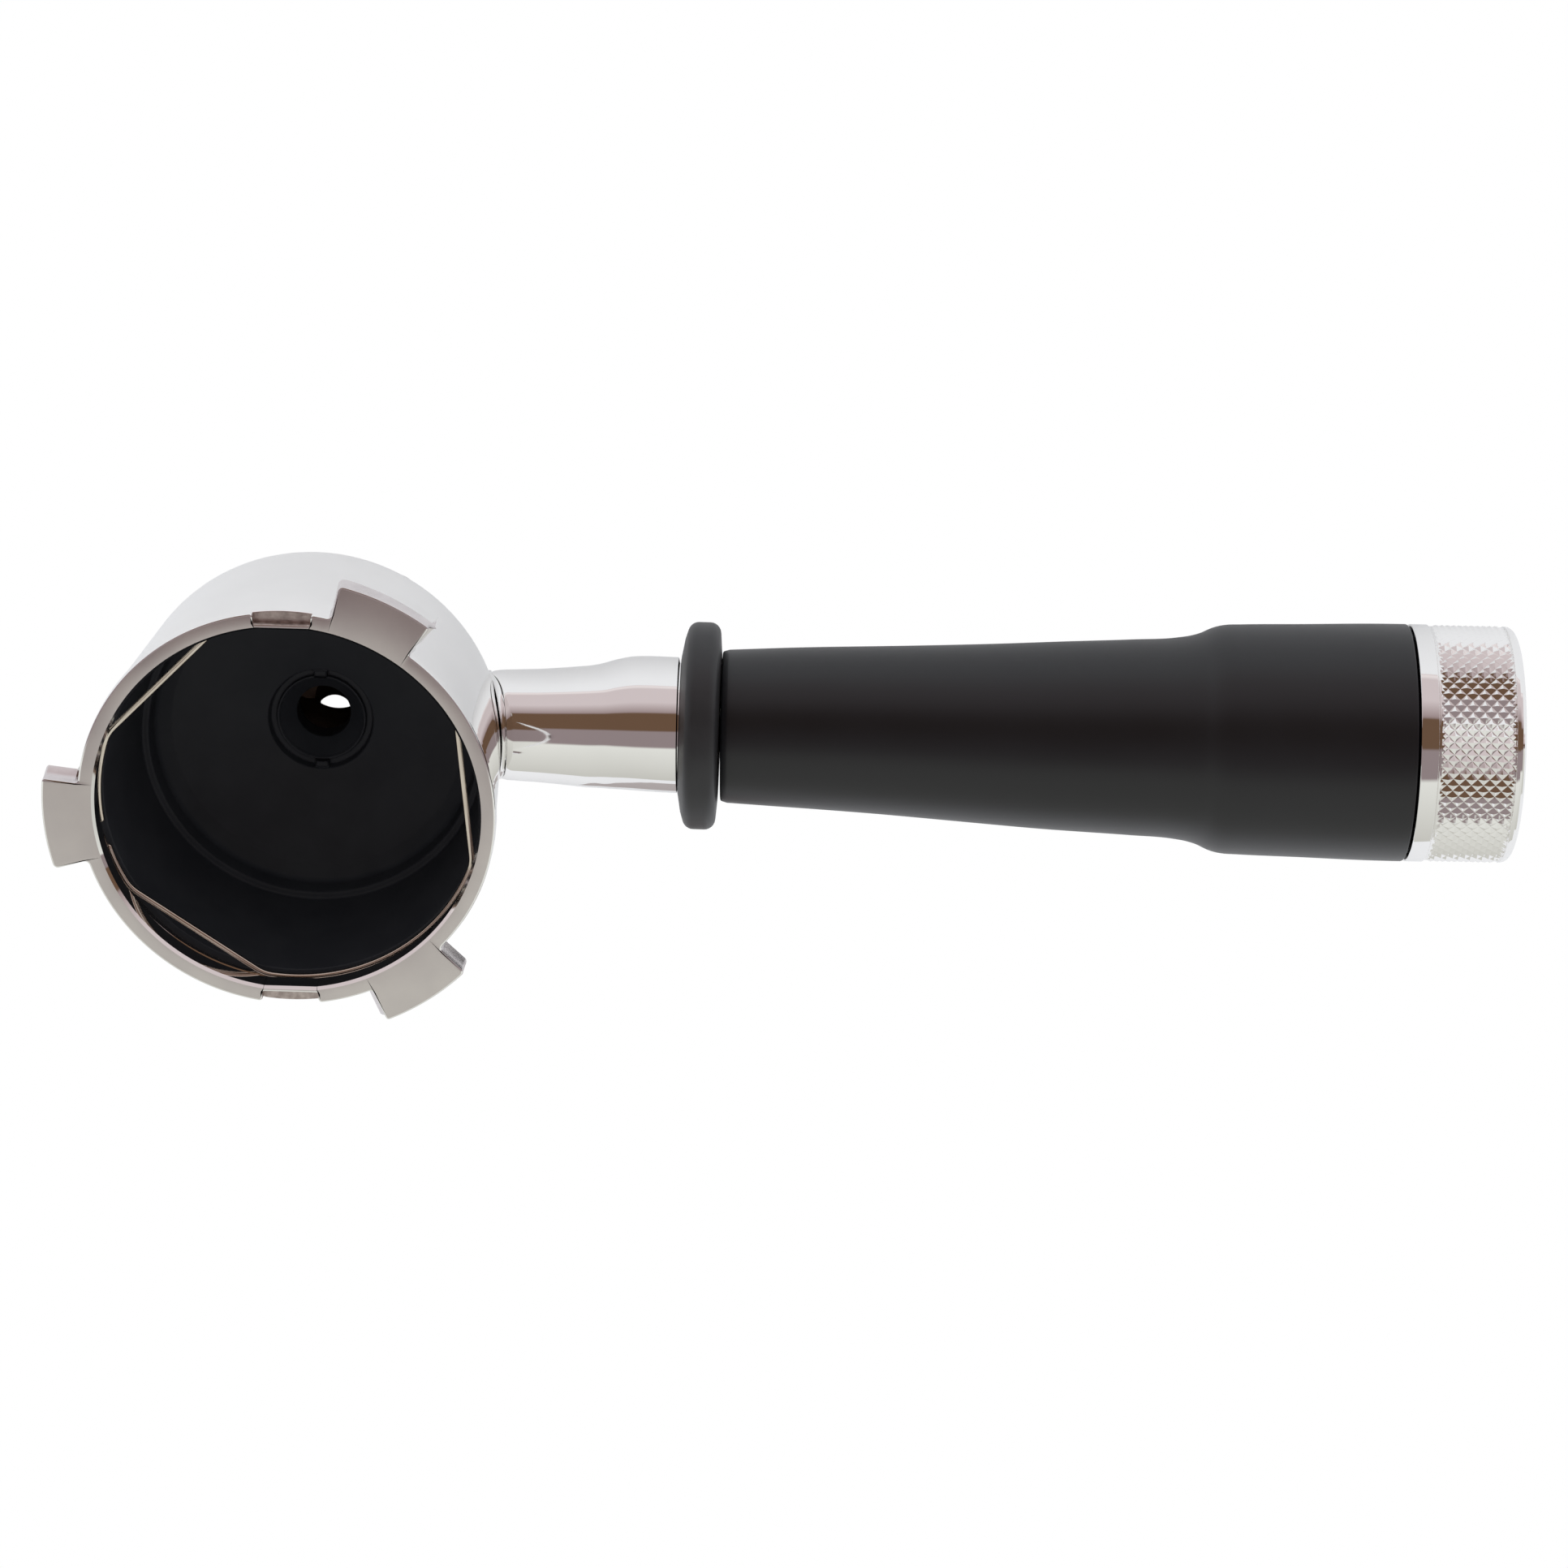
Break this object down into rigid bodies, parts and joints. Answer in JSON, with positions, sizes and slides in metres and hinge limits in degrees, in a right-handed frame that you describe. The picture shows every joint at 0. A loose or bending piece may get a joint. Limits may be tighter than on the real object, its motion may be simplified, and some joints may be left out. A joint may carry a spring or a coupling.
{
  "type": "portafilter",
  "caption": "Bayonet-mount coffee portafilter: lined chrome cup with basket spring, twin spout and black handle with knurled end cap.",
  "frame": {"origin": "centre of the cup's mouth, in the plane of the rim's top face, where the three-lug bayonet meets the machine", "axes": "+Z along the cup's axis, out of its mouth (up in use); +X along the handle; +Y completes the right-handed frame"},
  "size_m": [0.2214, 0.0677, 0.074],
  "materials": {
    "polished_chrome": "polished chrome plate on cast brass",
    "zinc_plated_steel": "zinc-plated steel hardware",
    "spring_steel": "drawn spring wire",
    "brass": "turned brass",
    "black_plastic": "satin moulded grip",
    "lining_plastic": "semi-gloss moulded lining",
    "black_rubber": "satin black rubber"
  },
  "bodies": {
    "holder": {"cup_body": "polished_chrome", "cup_liner": "lining_plastic", "liner_seal": "black_rubber", "basket_spring": "spring_steel", "handle_neck": "polished_chrome", "neck_key": "zinc_plated_steel", "rod_jam_nut": "zinc_plated_steel", "neck_bush": "black_plastic", "guard_ring": "black_rubber", "grip": "black_plastic", "grip_bush": "brass", "tie_rod": "zinc_plated_steel", "clamp_washer": "zinc_plated_steel", "spring_washer": "spring_steel", "clamp_nut": "zinc_plated_steel"},
    "lock_nut": {"spout_lock_nut": "zinc_plated_steel"},
    "spout": {"spout_gasket": "black_rubber", "twin_spout": "polished_chrome"},
    "cap_ring": {"cap_seal": "black_rubber"},
    "end_cap": {"cap_insert": "brass", "cap_shell": "polished_chrome"}
  },
  "joints": [
    {"name": "spout_turn", "type": "hinge", "parent": "holder", "child": "spout", "pos_m": [0, 0, -0.06], "axis": [0, 0, 1], "range_deg": [-90, 90]},
    {"name": "lock_nut_turn", "type": "hinge", "parent": "holder", "child": "lock_nut", "pos_m": [0, 0, -0.05], "axis": [0, 0, 1], "range_deg": [0, 120]},
    {"name": "cap_travel", "type": "slide", "parent": "holder", "child": "cap_ring", "axis": [0.9997, 0, -0.0244], "range_m": [0, 0.00875]},
    {"name": "cap_turn", "type": "hinge", "parent": "cap_ring", "child": "end_cap", "pos_m": [0, 0, -0.0385], "axis": [0.9997, 0, -0.0244], "range_deg": [0, 2520]}
  ],
  "couplings": [
    {"joint": "cap_travel", "follows": "cap_turn", "m_per_rad": 0.00019894}
  ]
}
